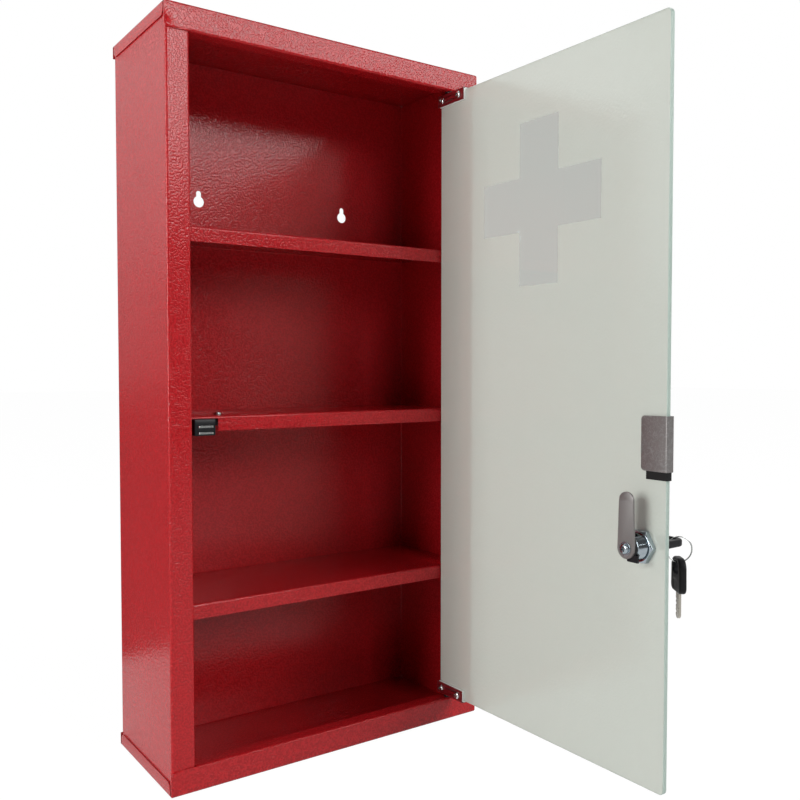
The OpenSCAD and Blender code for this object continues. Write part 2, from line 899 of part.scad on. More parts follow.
// Slab of a rounded outline, thick all told, with its edges drawn in at three heights
module eased_slab(low, high, radii, thick, ease) {
    hull()
        for (k = [0, 1, 2])
            let (in = ease * (1 - cos(45 * k)), h = thick - 2 * ease * (1 - sin(45 * k)))
            translate([0, 0, -h / 2])
                linear_extrude(h)
                polygon(round_box(low + [in, in], high - [in, in], radii - same(in)));
}

// Moulded bow: eased edges, a ring hole flared at both faces, a thumb recess on each side and a
// slot for the blade's root
module bow() {
    far = bow_corner_r;
    near = 4;
    hole_low = [-hole_l / 2, hole_edge - bow_l];
    hole_high = [hole_l / 2, hole_edge - bow_l + hole_h];
    grip_l = 12;
    grip_w = 7;
    grip_d = 0.5;
    grip_y = -2.5;
    color(BLACK)
        difference() {
            eased_slab([-bow_w / 2, -bow_l], [bow_w / 2, 0], [far, far, near, near], bow_t, bow_ease);
            translate([0, 0, -bow_t])
                linear_extrude(2 * bow_t)
                polygon(round_box(hole_low, hole_high, same(hole_h / 2)));
            for (side = [-1, 1]) {
                translate([0, 0, side * bow_t / 2])
                    hull()
                    for (out = [0, bow_ease])
                        let (h = 2 * (bow_ease - out) + 0.02)
                        translate([0, 0, -h / 2])
                            linear_extrude(h)
                            polygon(round_box(hole_low - [out, out], hole_high + [out, out],
                                              same(hole_h / 2 + out)));
                translate([0, 0, side * bow_t / 2 - grip_d])
                    linear_extrude(2 * grip_d)
                    polygon(round_box([-grip_l / 2, grip_y - grip_w], [grip_l / 2, grip_y],
                                      same(grip_w / 2)));
            }
            block([-blade_w / 2, -blade_root, -blade_t / 2], [blade_w / 2, 1, blade_t / 2]);
        }
}

// Where the key in the lock and the spare key on the ring are
module in_lock() {
    door_frame() translate([lock_x, bow_y1, lock_z]) children();
}

module on_ring() {
    door_frame()
        translate([ring_x, ring_y, spare_top_z - bow_l])
        rotate([0, 0, ring_bearing])
        rotate([0, 90, 0])
        rotate([0, 0, -90])
        children();
}

module key_blade() {
    in_lock() blade();
}

module key_bow() {
    in_lock() bow();
}

module key_ring() {
    color(ZINC)
        door_frame()
        translate([ring_x, ring_y, ring_z])
        rotate([90, 0, ring_bearing])
        rotate_extrude($fn = 96)
        translate([ring_r, 0])
        circle(r = wire_r, $fn = 24);
}

module spare_key_blade() {
    on_ring() blade();
}

module spare_key_bow() {
    on_ring() bow();
}

shell_back();
shell_rear_bends();
shell_lock_wall();
shell_lock_flange();
shell_lock_return();
shell_hinge_wall();
shell_hinge_flange();
shell_hinge_return();
top_cap();
bottom_cap();
upper_shelf();
middle_shelf();
lower_shelf();
catch_housing();
catch_pole_plates();
catch_magnet();
catch_screw();
upper_pivot_bush();
lower_pivot_bush();
door_glass();
upper_hinge_clamp();
lower_hinge_clamp();
upper_hinge_gasket();
lower_hinge_gasket();
upper_hinge_screws();
lower_hinge_screws();
upper_pivot_pin();
lower_pivot_pin();
strike_clip();
clip_liner();
lock_housing();
bezel_gasket();
lock_nut();
lock_plug();
stop_washer();
lock_cam();
cam_washer();
cam_screw();
key_blade();
key_bow();
key_ring();
spare_key_blade();
spare_key_bow();
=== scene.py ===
import math

import bmesh
import bpy
import numpy as np
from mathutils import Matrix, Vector


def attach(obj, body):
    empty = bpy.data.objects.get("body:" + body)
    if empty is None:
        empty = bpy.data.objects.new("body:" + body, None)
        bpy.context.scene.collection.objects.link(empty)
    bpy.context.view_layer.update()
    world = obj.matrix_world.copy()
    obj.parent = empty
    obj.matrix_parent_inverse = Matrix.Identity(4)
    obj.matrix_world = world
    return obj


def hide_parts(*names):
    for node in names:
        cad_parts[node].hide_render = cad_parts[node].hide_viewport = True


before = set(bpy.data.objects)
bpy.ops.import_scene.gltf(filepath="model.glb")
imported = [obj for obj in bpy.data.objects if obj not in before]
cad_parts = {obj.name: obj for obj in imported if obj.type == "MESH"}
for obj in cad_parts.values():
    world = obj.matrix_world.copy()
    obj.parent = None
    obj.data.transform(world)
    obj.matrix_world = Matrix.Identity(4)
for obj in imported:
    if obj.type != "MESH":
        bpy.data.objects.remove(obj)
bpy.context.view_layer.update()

# Lockable medicine cabinet: finishes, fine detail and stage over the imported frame.
# Drawing units are millimetres from the cabinet's front left bottom corner (X right, Y back,
# Z up). The door's pieces are drawn with the door closed and set down where it stands open.

MM_PER_METRE = 1000.0
ORIGIN = np.array([150.0, 119.0, 477.0])  # the frame's zero, midway between the keyholes
PIVOT = np.array([271.0, 4.2])            # the door's upright axis, across and back
GLASS_Y = (2.2, 6.2)                      # the glass's outer and inner face, door closed
SHARP_ANGLE = 35.0                        # degrees past which an edge stays sharp
WHOLE_TURN = 2.0 * math.pi


def from_cabinet(points):
    """Drawing millimetres to the frame's metres."""
    return (np.asarray(points, float) - ORIGIN) / MM_PER_METRE


def from_door(points):
    """Closed-door millimetres to metres at rest: a quarter turn about the pivot."""
    p = np.asarray(points, float)
    across, back = p[..., 0] - PIVOT[0], p[..., 1] - PIVOT[1]
    return from_cabinet(np.stack([PIVOT[0] - back, PIVOT[1] + across, p[..., 2]], -1))


# ---- meshes --------------------------------------------------------------------------------

def once_round(count):
    """Even angles once round, one for each column of a grid."""
    return np.linspace(0.0, WHOLE_TURN, count, endpoint=False)[None, :]


def quarter_turn(count):
    """Even angles from nothing to a quarter turn."""
    return np.linspace(0.0, WHOLE_TURN / 4, count)


def down_rows(*values):
    """Values and runs of values, one for each row of a grid."""
    return np.concatenate([np.atleast_1d(v) for v in values]).astype(float)[:, None]


def grid_quads(rows, columns, ring):
    """Quads between neighbouring points of a rows by columns grid, as index quadruples. The
    columns go all the way round, and so do the rows of a ring."""
    i, j = np.meshgrid(np.arange(rows if ring else rows - 1), np.arange(columns), indexing="ij")
    i2, j2 = (i + 1) % rows, (j + 1) % columns
    corners = [i * columns + j, i * columns + j2, i2 * columns + j2, i2 * columns + j]
    return np.stack(corners, -1).reshape(-1, 4)


def signed_volume(points, quads):
    """Volume within the quads, positive where they face outwards: a sixth of the sum, over each
    quad's two triangles, of one corner times the cross product of the other two."""
    a, b, c, d = (points[quads[:, k]] for k in range(4))
    return float((a * (np.cross(b, c) + np.cross(c, d))).sum()) / 6.0


def new_piece(name, points, material, body, node, ring=True, sharp=SHARP_ANGLE):
    """A closed surface through a grid of points, right side out, that stands for a CAD node.
    The rows join up in a ring, or else the first and last rows are flat ends."""
    rows, columns = points.shape[:2]
    points = points.reshape(-1, 3)
    quads = grid_quads(rows, columns, ring)
    first = list(range(columns))
    last = list(range(rows * columns - 1, (rows - 1) * columns - 1, -1))
    ends = [] if ring else [first, last]
    if signed_volume(points - points.mean(0), quads) < 0:
        quads = quads[:, ::-1]
        ends = [end[::-1] for end in ends]
    mesh = bpy.data.meshes.new(name)
    mesh.from_pydata(points.tolist(), [], quads.tolist() + ends)
    mesh.update()
    piece = bpy.data.objects.new(name, mesh)
    bpy.context.scene.collection.objects.link(piece)
    mesh.materials.append(material)
    mesh.shade_smooth()
    mesh.set_sharp_from_angle(angle=math.radians(sharp))
    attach(piece, body)
    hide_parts(node)


# ---- finishes ------------------------------------------------------------------------------

class NodeTree:
    """Short ways to add nodes to a tree. An input is a socket to link, or a value."""

    def __init__(self, tree):
        self.tree = tree

    def node(self, kind, inputs=(), **settings):
        n = self.tree.nodes.new(kind)
        for key, value in settings.items():
            setattr(n, key, value)
        for key, value in dict(inputs).items():
            if isinstance(value, bpy.types.NodeSocket):
                self.tree.links.new(value, n.inputs[key])
            else:
                n.inputs[key].default_value = value
        return n

    def maths(self, operation, *values):
        return self.node("ShaderNodeMath", enumerate(values), operation=operation).outputs[0]

    def plus(self, a, b):
        return self.maths("ADD", a, b)

    def minus(self, a, b):
        return self.maths("SUBTRACT", a, b)

    def times(self, a, b):
        return self.maths("MULTIPLY", a, b)

    def mix(self, factor, first, second):
        """First value where the factor is 0, second where it is 1. A Mix node's value sockets are
        its inputs 2 and 3."""
        return self.node("ShaderNodeMix", {0: factor, 2: first, 3: second}).outputs[0]

    def between(self, value, low, high, start=0.0, end=1.0):
        """Low where value is at or under start, high at or over end, straight between."""
        inputs = {"Value": value, "From Min": start, "From Max": end, "To Min": low, "To Max": high}
        return self.node("ShaderNodeMapRange", inputs).outputs[0]


class Finish(NodeTree):
    """A material with one Principled shader, and short ways to feed its sockets. The plain colour
    and roughness stay for viewers that don't read the nodes which feed those sockets."""

    def __init__(self, name, colour, roughness, metallic=0.0, specular=0.5):
        self.material = bpy.data.materials.new(name)
        self.material.use_nodes = True
        super().__init__(self.material.node_tree)
        self.shader = self.tree.nodes["Principled BSDF"]
        values = {"Base Color": (*colour, 1.0), "Roughness": roughness, "Metallic": metallic,
                  "Specular IOR Level": specular}
        for socket, value in values.items():
            self.shader.inputs[socket].default_value = value
        self.where = self.node("ShaderNodeTexCoord").outputs["Object"]

    def noise(self, cells, detail=2.0, roughness=0.5, stretch=(1.0, 1.0, 1.0)):
        """Noise with so many cells to the metre, packed closer along an axis by its stretch."""
        mapped = self.node("ShaderNodeMapping", {"Vector": self.where, "Scale": stretch})
        inputs = {"Vector": mapped.outputs[0], "Scale": cells, "Detail": detail,
                  "Roughness": roughness}
        return self.node("ShaderNodeTexNoise", inputs).outputs["Fac"]

    def blend(self, factor, first, second):
        """First colour where the factor is 0, second where it is 1. A Mix node's colour sockets
        are its inputs 6 and 7 and its output 2."""
        mix = self.node("ShaderNodeMix", {"Factor": factor}, data_type="RGBA")
        for key, value in ((6, first), (7, second)):
            if isinstance(value, bpy.types.NodeSocket):
                self.tree.links.new(value, mix.inputs[key])
            else:
                mix.inputs[key].default_value = (*value, 1.0)
        return mix.outputs[2]

    def feed(self, socket, source):
        self.tree.links.new(source, self.shader.inputs[socket])

    def bump(self, height, depth, strength=1.0):
        inputs = {"Height": height, "Distance": depth, "Strength": strength}
        self.feed("Normal", self.node("ShaderNodeBump", inputs).outputs[0])


PEEL_CELLS, PEEL_DEPTH = 660.0, 0.00013   # to the metre, and metres
CREST_FOOT, CREST_TOP = 0.45, 0.55        # values of the peel's noise where a crest rises
CREST_HEIGHT = 0.7                        # beside the noise's own 1
PEEL_SHARE, MOTTLING_SHARE = 0.75, 0.25   # of the paleness
VALLEY_RED, CREST_RED = (0.35, 0.007, 0.010), (0.53, 0.013, 0.018)


def powder_coat():
    """Red powder coat: orange peel, a noise with low steep-sided crests where it is over its
    middle value. The crests are paler, with faint broad mottling, and a little rougher."""
    f = Finish("red_powder_coat", (0.44, 0.010, 0.013), 0.13, specular=0.32)
    peel = f.noise(PEEL_CELLS, detail=0.0)
    crests = f.between(peel, 0.0, 1.0, CREST_FOOT, CREST_TOP)
    f.bump(f.plus(peel, f.times(crests, CREST_HEIGHT)), PEEL_DEPTH)
    mottling = f.between(f.noise(cells=9.0, detail=3.0), 0.0, MOTTLING_SHARE)
    paleness = f.plus(f.between(peel, 0.0, PEEL_SHARE, 0.3, 0.7), mottling)
    f.feed("Base Color", f.blend(paleness, VALLEY_RED, CREST_RED))
    f.feed("Roughness", f.between(peel, 0.10, 0.16))
    return f.material


def clamp_paint():
    """The hinge clamps' darker, smoother red."""
    f = Finish("dark_red_paint", (0.16, 0.006, 0.009), 0.3)
    f.bump(f.noise(cells=700.0, detail=1.0), depth=0.0001, strength=0.4)
    return f.material


CROSS_MIDDLE = (152.1, 462.6)         # across and up, door closed
CROSS_ARM, CROSS_REACH = 22.3, 67.1   # half an arm's width, and from the middle to its end
FACE_SLACK = 0.1                      # how far off its plane a point still counts as a face
CLEAR_GLASS, CROSS_GREY = (0.93, 0.97, 0.95), (0.31, 0.312, 0.285)
FROST_WHITE, GROUND_GREEN = (0.575, 0.612, 0.552), (0.50, 0.62, 0.56)
FROST_PASSES, EDGE_PASSES = 0.12, 0.3  # shares of the light
FROST_ROUGHNESS, EDGE_ROUGHNESS, CLEAR_ROUGHNESS = (0.08, 0.13), 0.35, 0.02


def door_glass():
    """Glass frosted on its inner face round a clear cross. A point is on the cross where it is
    within half an arm's width of the middle one way and within the arms' reach the other way.
    What is on neither face is the edge, ground and green. The frost is faintly rippled."""
    f = Finish("frosted_glass", CLEAR_GLASS, 0.05)
    place = f.node("ShaderNodeSeparateXYZ", {0: f.where})
    middle = [from_door([CROSS_MIDDLE[0], y, CROSS_MIDDLE[1]]).tolist() for y in GLASS_Y]
    (outer_x, _, _), (inner_x, middle_y, middle_z) = middle
    slack = FACE_SLACK / MM_PER_METRE
    inner = f.maths("LESS_THAN", place.outputs["X"], inner_x + slack)
    outer = f.maths("GREATER_THAN", place.outputs["X"], outer_x - slack)
    edge = f.minus(1.0, f.plus(inner, outer))

    def arm(across, along):
        narrow = f.maths("LESS_THAN", across, CROSS_ARM / MM_PER_METRE)
        return f.times(narrow, f.maths("LESS_THAN", along, CROSS_REACH / MM_PER_METRE))

    aside = f.maths("ABSOLUTE", f.minus(place.outputs["Y"], middle_y))
    above = f.maths("ABSOLUTE", f.minus(place.outputs["Z"], middle_z))
    cross = f.maths("MAXIMUM", arm(aside, above), arm(above, aside))
    frost = f.times(inner, f.minus(1.0, cross))
    clear_cross = f.times(inner, cross)
    pane = f.blend(frost, f.blend(clear_cross, CLEAR_GLASS, CROSS_GREY), FROST_WHITE)
    f.feed("Base Color", f.blend(edge, pane, GROUND_GREEN))
    passes = f.plus(f.times(frost, FROST_PASSES), f.times(edge, EDGE_PASSES))
    passes = f.plus(f.plus(outer, clear_cross), passes)
    f.feed("Transmission Weight", f.maths("MINIMUM", passes, 1.0))
    frost_roughness = f.times(frost, f.between(f.noise(cells=900.0), *FROST_ROUGHNESS))
    roughness = f.plus(frost_roughness, f.times(edge, EDGE_ROUGHNESS))
    f.feed("Roughness", f.plus(roughness, CLEAR_ROUGHNESS))
    f.bump(f.times(frost, f.noise(cells=420.0, detail=1.0)), depth=0.0001)
    return f.material


def metal(name, colour, roughness, grain=(1.0, 1.0, 1.0), cells=500.0, metallic=1.0, specular=0.5):
    """Plated or satin metal: one noise along the finish's grain for roughness and bump."""
    f = Finish(name, colour, roughness, metallic, specular)
    streaks = f.noise(cells, detail=3.0, roughness=0.6, stretch=grain)
    f.feed("Roughness", f.between(streaks, roughness * 0.75, roughness * 1.3))
    f.bump(streaks, depth=0.00002, strength=0.5)
    return f.material


SATIN_GREY, SCUFF_GREY = (0.225, 0.211, 0.206), (0.285, 0.28, 0.275)
SCUFF_HALF_WIDTH = 0.06  # how far from its middle value the noise is still a scuff


def scuffed_steel():
    """The strike clip's satin steel, with pale swirling scuffs: lines where a warped noise is
    near its middle value."""
    f = Finish("scuffed_steel", (0.21, 0.197, 0.192), 0.38, metallic=0.5, specular=0.3)
    swirl = {"Vector": f.where, "Scale": 170.0, "Detail": 1.0, "Distortion": 2.4}
    warped = f.node("ShaderNodeTexNoise", swirl).outputs["Fac"]
    off_middle = f.maths("ABSOLUTE", f.minus(warped, 0.5))
    scuff = f.between(off_middle, 1.0, 0.0, 0.0, SCUFF_HALF_WIDTH)
    f.feed("Base Color", f.blend(scuff, SATIN_GREY, SCUFF_GREY))
    f.feed("Roughness", f.between(scuff, 0.36, 0.5))
    f.bump(scuff, depth=0.00002, strength=0.5)
    return f.material


def moulded(name, colour, roughness):
    """Moulded plastic or rubber: a fine even grain."""
    f = Finish(name, colour, roughness, specular=0.2)
    grain = f.noise(cells=1500.0)
    f.feed("Roughness", f.between(grain, roughness * 0.8, roughness * 1.2))
    f.bump(grain, depth=0.00003, strength=0.4)
    return f.material


RED = powder_coat()
CLAMP_RED = clamp_paint()
GLASS = door_glass()
BLACK_PLASTIC = moulded("black_plastic", (0.012, 0.012, 0.014), 0.35)
BLACK_RUBBER = moulded("black_rubber", (0.010, 0.010, 0.010), 0.6)
WHITE_GASKET = moulded("white_gasket", (0.80, 0.83, 0.80), 0.45)
ZINC = metal("bright_zinc", (0.66, 0.67, 0.66), 0.22)
LOCK_ZINC = metal("blue_zinc", (0.43, 0.49, 0.53), 0.16)
SATIN = metal("satin_steel", SATIN_GREY, 0.38, (1.0, 1.0, 12.0), 260.0, metallic=0.5, specular=0.3)
SCUFFED = scuffed_steel()
KEY_NICKEL = metal("key_nickel", (0.52, 0.49, 0.43), 0.28)
FERRITE = moulded("ferrite", (0.05, 0.05, 0.055), 0.6)

NODE_FINISH = {
    RED: ["shell_back", "shell_rear_bends", "shell_lock_wall", "shell_lock_flange",
          "shell_lock_return", "shell_hinge_wall", "shell_hinge_flange", "shell_hinge_return",
          "top_cap", "bottom_cap", "upper_shelf", "middle_shelf", "lower_shelf"],
    CLAMP_RED: ["upper_hinge_clamp", "lower_hinge_clamp"],
    GLASS: ["door_glass"],
    BLACK_PLASTIC: ["catch_housing", "upper_pivot_bush", "lower_pivot_bush", "stop_washer",
                    "key_bow", "spare_key_bow"],
    BLACK_RUBBER: ["clip_liner", "bezel_gasket"],
    WHITE_GASKET: ["upper_hinge_gasket", "lower_hinge_gasket"],
    ZINC: ["catch_pole_plates", "catch_screw", "upper_hinge_screws", "lower_hinge_screws",
           "upper_pivot_pin", "lower_pivot_pin", "key_ring"],
    LOCK_ZINC: ["lock_housing", "lock_nut", "lock_plug", "cam_washer", "cam_screw"],
    SATIN: ["lock_cam"],
    SCUFFED: ["strike_clip"],
    KEY_NICKEL: ["key_blade", "spare_key_blade"],
    FERRITE: ["catch_magnet"],
}
for material, nodes in NODE_FINISH.items():
    for node in nodes:
        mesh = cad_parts[node].data
        mesh.materials.clear()
        mesh.materials.append(material)

# ---- cam lock ------------------------------------------------------------------------------

LOCK_X, LOCK_Z = 44.5, 199.5
BARREL_R, BARREL_FLAT, BORE_R = 9.2, 8.0, 6.05   # the flat is its distance from the axis
BEZEL_R, BEZEL_RIM, BEZEL_LAND = 11.5, 1.2, 9.6  # the land is a ring of points on its face
BEZEL_FRONT, BEZEL_BACK, BARREL_END = -0.7, 1.7, 19.6
BORE_EASE, BEZEL_BACK_EASE = 0.3, 0.2
THREAD_PITCH, THREAD_DEPTH = 1.0, 0.6
TAPER_LENGTH, TAPER_DEPTH = 0.8, 0.5
NUT_BACK, NUT_FRONT, NUT_FLAT = 6.2, 11.0, 11.5
NUT_CHAMFER, NUT_CONE = 0.35, 1.7                # inside the flats, and outwards per depth
NUT_BORE, NUT_BORE_MOUTH = BARREL_R + 0.1, BARREL_R + 0.45
NUT_LEAD_IN, NUT_ROUNDING = 0.5, 0.1
BARREL_CREASE, NUT_CREASE = 12.0, 7.0            # sharpness, to the millimetre
LEAST_SINE = 0.2                                 # keeps the flats' radius finite beside them


def round_lock(r, y, turn):
    """Points at radius r, depth y and angle turn round the lock's axis, with the door closed."""
    x, z = LOCK_X + r * np.cos(turn), LOCK_Z + r * np.sin(turn)
    return from_door(np.stack([x, y + 0 * x, z], -1))


def soft_low(a, b, sharpness):
    """The lower of two lengths, with the crease between them rounded: the log of the sum of
    their exponentials, taken upside down."""
    return -np.logaddexp(-sharpness * a, -sharpness * b) / sharpness


def threaded_barrel():
    """Bezel and barrel as a ring of closed profiles round the axis. The bezel's rim is a quarter
    round. The barrel's radius is cut by a V thread, a triangle wave of the depth in pitches less
    the share of a turn, tapers at its end, and is held under two flats, which are their distance
    over the sine of the turn."""
    turn, rim = once_round(144), quarter_turn(7)
    bezel_r = down_rows(BORE_R, BORE_R + BORE_EASE, BEZEL_LAND,
                        BEZEL_R - BEZEL_RIM * (1 - np.sin(rim)), BEZEL_R, BEZEL_R - BEZEL_BACK_EASE)
    bezel_y = down_rows(BEZEL_FRONT + BORE_EASE, BEZEL_FRONT, BEZEL_FRONT,
                        BEZEL_FRONT + BEZEL_RIM * (1 - np.cos(rim)),
                        BEZEL_BACK - BEZEL_BACK_EASE, BEZEL_BACK)
    barrel_y = np.linspace(BEZEL_BACK, BARREL_END, 180)[:, None]
    climb = barrel_y / THREAD_PITCH - turn / WHOLE_TURN
    cut = THREAD_DEPTH * (1.0 - np.abs(2.0 * (climb - np.floor(climb)) - 1.0))
    taper = np.clip((barrel_y - BARREL_END + TAPER_LENGTH) / TAPER_LENGTH, 0.0, 1.0)
    flats = BARREL_FLAT / np.maximum(np.abs(np.sin(turn)), LEAST_SINE)
    barrel_r = soft_low(BARREL_R - cut - TAPER_DEPTH * taper, flats, BARREL_CREASE)
    barrel_r[0] = BARREL_R
    end_r = down_rows(BORE_R + BORE_EASE, BORE_R)
    end_y = down_rows(BARREL_END, BARREL_END - BORE_EASE)
    r = np.concatenate([bezel_r + 0 * turn, barrel_r, end_r + 0 * turn])
    y = np.concatenate([bezel_y, barrel_y, end_y])
    new_piece("lock_barrel", round_lock(r, y, turn), LOCK_ZINC, "door",
              "lock_housing", sharp=50.0)


def hexagon_nut():
    """Nut as a ring of closed profiles round the axis. Its radius is the lower of a hexagon's,
    the flat's distance over the cosine of the turn from the flat's middle, and a cone's, which
    chamfers the corners of the face away from the glass. The bore widens at that face. Outward
    is the share of the way from the bore to that radius."""
    turn = once_round(192)
    side_rows = 26
    y = down_rows([NUT_BACK] * 3, np.linspace(NUT_BACK + NUT_ROUNDING, NUT_FRONT, side_rows),
                  [NUT_FRONT] * 2, NUT_FRONT - NUT_LEAD_IN, NUT_BACK + NUT_LEAD_IN)
    outward = down_rows(0.0, 0.5, 0.97, np.ones(side_rows), 0.94, 0.5, 0.0, 0.0)
    side_turn = WHOLE_TURN / 6
    from_flat = np.mod(turn, side_turn) - side_turn / 2
    cone = NUT_FLAT - NUT_CHAMFER + (NUT_FRONT - y) * NUT_CONE
    outer = soft_low(NUT_FLAT / np.cos(from_flat), cone, NUT_CREASE)
    bore = np.where(y == NUT_FRONT, NUT_BORE_MOUTH, NUT_BORE)
    new_piece("hexagon_nut", round_lock(bore + (outer - bore) * outward, y, turn), LOCK_ZINC,
              "door", "lock_nut", sharp=40.0)


# ---- keys and ring -------------------------------------------------------------------------

BOW_L, BOW_HALF, BOW_T, BOW_EASE = 26.0, 11.0, 5.4, 1.5
BOW_FAR_R, BOW_SHOULDER_R = 8.0, 4.0
HOLE_HALF, HOLE_R, HOLE_EDGE, HOLE_FLARE = 6.5, 5.0, 2.8, 1.0
HOLE_MIDDLE = (0.0, HOLE_EDGE + HOLE_R - BOW_L)
THUMB_LOW, THUMB_HIGH, THUMB_R = (-6.0, -9.5), (6.0, -2.5), 3.5
THUMB_DEPTH, THUMB_SLOPE = 0.5, 0.5
RIB_SPACING, RIB_HEIGHT = 1.4, 0.32
BLADE_L, BLADE_ROOT, BLADE_HALF, BLADE_T = 19.5, 4.0, 3.5, 2.0
TIP_L, TIP_HALF, TIP_SLOPE = 2.0, 1.0, 1.25
BLADE_EASE, GROOVE_DEPTH = 0.18, 0.55
GROOVE_X = np.array([[2.0, 1.9, 0.9, 0.8]])   # a groove's mouth, floor, floor and mouth
CUT_DEPTHS = np.array([[1.0, 1.8, 0.6, 1.4]])
FIRST_CUT, CUT_SPACING = 6.0, 3.0
CUT_HALF_MOUTH, CUT_SLOPE = 1.1, 0.7

RING_R, WIRE_R, WIRE_OVAL, TURN_GAP = 9.4, 0.6, 1.5, 0.01
RING_BEARING = math.radians(54.0)             # of the ring's plane, from the cabinet's front
RING_PLAY, RING_HALF_CHORD = 0.35, 2.0
RING_WEB = 6.25                               # level, from the bow's corner arc's middle
RING_SPREAD, RING_START, RING_GAP = 0.35, 0.9, 0.25  # radians: crossover, start, open end

UP = np.array([0.0, 0.0, 1.0])
RING_LEVEL = np.array([math.cos(RING_BEARING), math.sin(RING_BEARING), 0.0])
RING_AXIS = np.array([math.sin(RING_BEARING), -math.cos(RING_BEARING), 0.0])
KEY_SHOULDER = np.array([LOCK_X, -5.2, LOCK_Z])
# The ring goes round the web at the far corner of the bow in the lock, and bears on its face.
BOW_CORNER = KEY_SHOULDER + [BOW_FAR_R - BOW_HALF, BOW_FAR_R - BOW_L, 0.0]
RING_DROP = math.sqrt((RING_R - WIRE_R) ** 2 - RING_HALF_CHORD ** 2) - BOW_T / 2 - RING_PLAY
RING_MIDDLE = BOW_CORNER - RING_WEB * RING_LEVEL - RING_DROP * UP
SPARE_SHOULDER = RING_MIDDLE + (WIRE_R - RING_R + RING_PLAY + HOLE_EDGE - BOW_L) * UP


def in_lock(p):
    """Key coordinates (X across, Y towards the tip, Z through the thickness) to the key in the
    lock."""
    return from_door(KEY_SHOULDER + p)


def on_ring(p):
    """Key coordinates to the spare key, which hangs tip down from the ring, square to the other
    key."""
    across, along, through = p[..., :1], p[..., 1:2], p[..., 2:]
    return from_door(SPARE_SHOULDER + across * RING_AXIS - along * UP + through * RING_LEVEL)


def split_ring():
    """Key ring of flat spring wire: an oval section carried twice round the ring, which crosses
    from one turn's plane to the other's by the hyperbolic tangent of the angle past half way."""
    turn = np.linspace(0.0, 2.0 * WHOLE_TURN - RING_GAP, 220)
    shift = WIRE_R / 2 * np.tanh((turn - WHOLE_TURN) / RING_SPREAD)
    thin = WIRE_R / 2 - TURN_GAP
    around = once_round(12)
    angle = (turn + RING_START)[:, None]
    outward = np.cos(angle) * RING_LEVEL + np.sin(angle) * UP
    reach = RING_R + WIRE_OVAL * thin * np.cos(around)
    aside = shift[:, None] + thin * np.sin(around)
    points = RING_MIDDLE + outward[:, None] * reach[..., None] + RING_AXIS * aside[..., None]
    new_piece("split_ring", from_door(points), ZINC, "ring", "key_ring",
              ring=False, sharp=60.0)


def box_distance(x, y, low, high, r):
    """Signed distance in the plane to a rectangle with round corners, negative inside: from the
    rectangle shrunk by the corners' radius, less the radius."""
    qx = np.abs(x - (low[0] + high[0]) / 2) - (high[0] - low[0]) / 2 + r
    qy = np.abs(y - (low[1] + high[1]) / 2) - (high[1] - low[1]) / 2 + r
    return np.hypot(np.maximum(qx, 0), np.maximum(qy, 0)) + np.minimum(np.maximum(qx, qy), 0) - r


def reach_to(outline, middle, turn, limit):
    """How far a ray from the middle runs at each angle before it leaves the outline, by halving
    the interval from nothing to the limit forty times."""
    near, far = np.zeros_like(turn), np.full_like(turn, limit)
    for _ in range(40):
        half = (near + far) / 2
        inside = outline(middle[0] + half * np.cos(turn), middle[1] + half * np.sin(turn)) < 0
        near, far = np.where(inside, half, near), np.where(inside, far, half)
    return near


def bow_outline(x, y):
    """Distance to the bow's outline, whose far corners are rounder than those at the shoulder."""
    corner = np.where(y < -BOW_L / 2, BOW_FAR_R, BOW_SHOULDER_R)
    return box_distance(x, y, (-BOW_HALF, -BOW_L), (BOW_HALF, 0.0), corner)


def hole_outline(x, y):
    """Distance to the ring hole's outline, a slot with round ends."""
    low, high = HOLE_MIDDLE[1] - HOLE_R, HOLE_MIDDLE[1] + HOLE_R
    return box_distance(x, y, (-HOLE_HALF, low), (HOLE_HALF, high), HOLE_R)


def moulded_bow(name, place, body, node):
    """Bow as a ring of closed sections round the ring hole: quarter-round outer edges, flat
    faces, and a hole flared by a quarter round. Each face dips in a thumb recess, a smooth step
    of the distance to the recess's outline, and a cosine along the key ribs it across."""
    turn = once_round(168)
    outer = reach_to(bow_outline, HOLE_MIDDLE, turn, BOW_L * 2)
    hole = reach_to(hole_outline, HOLE_MIDDLE, turn, BOW_L * 2)
    half = BOW_T / 2
    lean = quarter_turn(7)[:, None]
    edge_r = outer - BOW_EASE * (1 - np.cos(lean))
    edge_z = half - BOW_EASE * (1 - np.sin(lean))
    share = np.linspace(0.0, 1.0, 34)[1:-1, None]
    face_r = (outer - BOW_EASE) * (1 - share) + (hole + HOLE_FLARE) * share
    lean = quarter_turn(6)[::-1, None]
    flare_r = hole + HOLE_FLARE * (1 - np.cos(lean))
    flare_z = half - HOLE_FLARE * (1 - np.sin(lean))
    r = np.concatenate([edge_r, face_r, flare_r])
    z = np.concatenate([edge_z + 0 * turn, half + 0 * face_r, flare_z + 0 * turn])
    x, y = HOLE_MIDDLE[0] + r * np.cos(turn), HOLE_MIDDLE[1] + r * np.sin(turn)
    off_recess = box_distance(x, y, THUMB_LOW, THUMB_HIGH, THUMB_R)
    sunk = np.clip(0.5 - off_recess / THUMB_SLOPE, 0.0, 1.0)
    sunk = sunk * sunk * (3 - 2 * sunk)
    from_rib = y - (THUMB_LOW[1] + THUMB_HIGH[1]) / 2
    ribs = 0.5 + 0.5 * np.cos(WHOLE_TURN * from_rib / RIB_SPACING)
    z = z - sunk * (THUMB_DEPTH - RIB_HEIGHT * ribs)
    front, back = np.stack([x, y, z], -1), np.stack([x, y, -z], -1)
    new_piece(name, place(np.concatenate([front, back[::-1]])), BLACK_PLASTIC, body,
              node, sharp=60.0)


